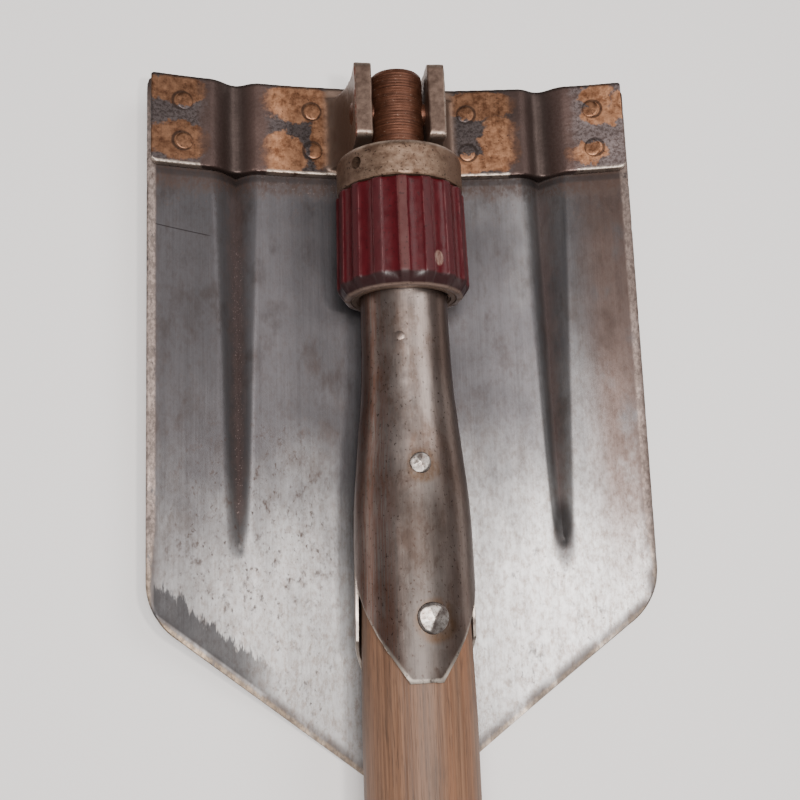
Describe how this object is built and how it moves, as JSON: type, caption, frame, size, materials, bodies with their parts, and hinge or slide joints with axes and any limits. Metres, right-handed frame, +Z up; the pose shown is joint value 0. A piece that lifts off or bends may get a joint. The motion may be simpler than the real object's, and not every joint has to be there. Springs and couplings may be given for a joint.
{
  "type": "folding camp shovel",
  "caption": "Folding shovel: dished pointed steel blade with riveted hinge plate, fluted locking nut, riveted socket and turned wooden handle with a knob.",
  "frame": {"origin": "under the middle of the folded shovel's box, on the surface that it rests on", "axes": "+Z up, away from the blade; +Y along the handle towards the hinge end; +X across the blade, along the hinge pin"},
  "size_m": [0.15, 0.5166, 0.045],
  "materials": {
    "blade_steel": "worn grey steel, brushed lengthwise, rust freckles",
    "plate_steel": "copper brown patina with dark grey patches",
    "hinge_steel": "rust-brown turned steel",
    "socket_steel": "brown-grey pressed sheet, worn bright along the middle",
    "collar_steel": "dull brownish steel",
    "rivet_steel": "bright worn rivet heads",
    "red_plastic": "deep red hard plastic, ridges worn pink-grey",
    "wood": "old straight-grained wood, orange and grey streaks"
  },
  "bodies": {
    "handle": {"handle": "wood", "socket_front": "socket_steel", "socket_rear": "socket_steel", "socket_rivet_upper": "rivet_steel", "socket_rivet_lower": "rivet_steel", "rivet_washer_upper": "socket_steel", "rivet_washer_lower": "socket_steel", "stud_cross_pin": "hinge_steel", "hinge_stud": "hinge_steel"},
    "blade": {"blade": "blade_steel", "hinge_plate": "plate_steel", "hinge_pin": "hinge_steel", "blade_rivet_1": "plate_steel", "blade_rivet_2": "plate_steel", "blade_rivet_3": "plate_steel", "blade_rivet_4": "plate_steel", "blade_rivet_5": "plate_steel", "blade_rivet_6": "plate_steel", "blade_rivet_7": "plate_steel", "blade_rivet_8": "plate_steel"},
    "nut_ring": {"nut_retaining_ring": "collar_steel"},
    "nut": {"nut_core": "collar_steel", "nut_sleeve": "red_plastic"}
  },
  "joints": [
    {"name": "blade_fold", "type": "hinge", "parent": "handle", "child": "blade", "pos_m": [0, 0.2417, 0.02399], "axis": [1, 0, 0], "range_deg": [0, 180]},
    {"name": "nut_travel", "type": "slide", "parent": "handle", "child": "nut_ring", "axis": [0, 1, 0], "range_m": [-0.00251, 0.00188]},
    {"name": "nut_turn", "type": "hinge", "parent": "nut_ring", "child": "nut", "pos_m": [0, 0.2417, 0.02399], "axis": [0, 1, 0], "range_deg": [-360, 270]}
  ],
  "couplings": [
    {"joint": "nut_travel", "follows": "nut_turn", "m_per_rad": 0.00039789}
  ]
}
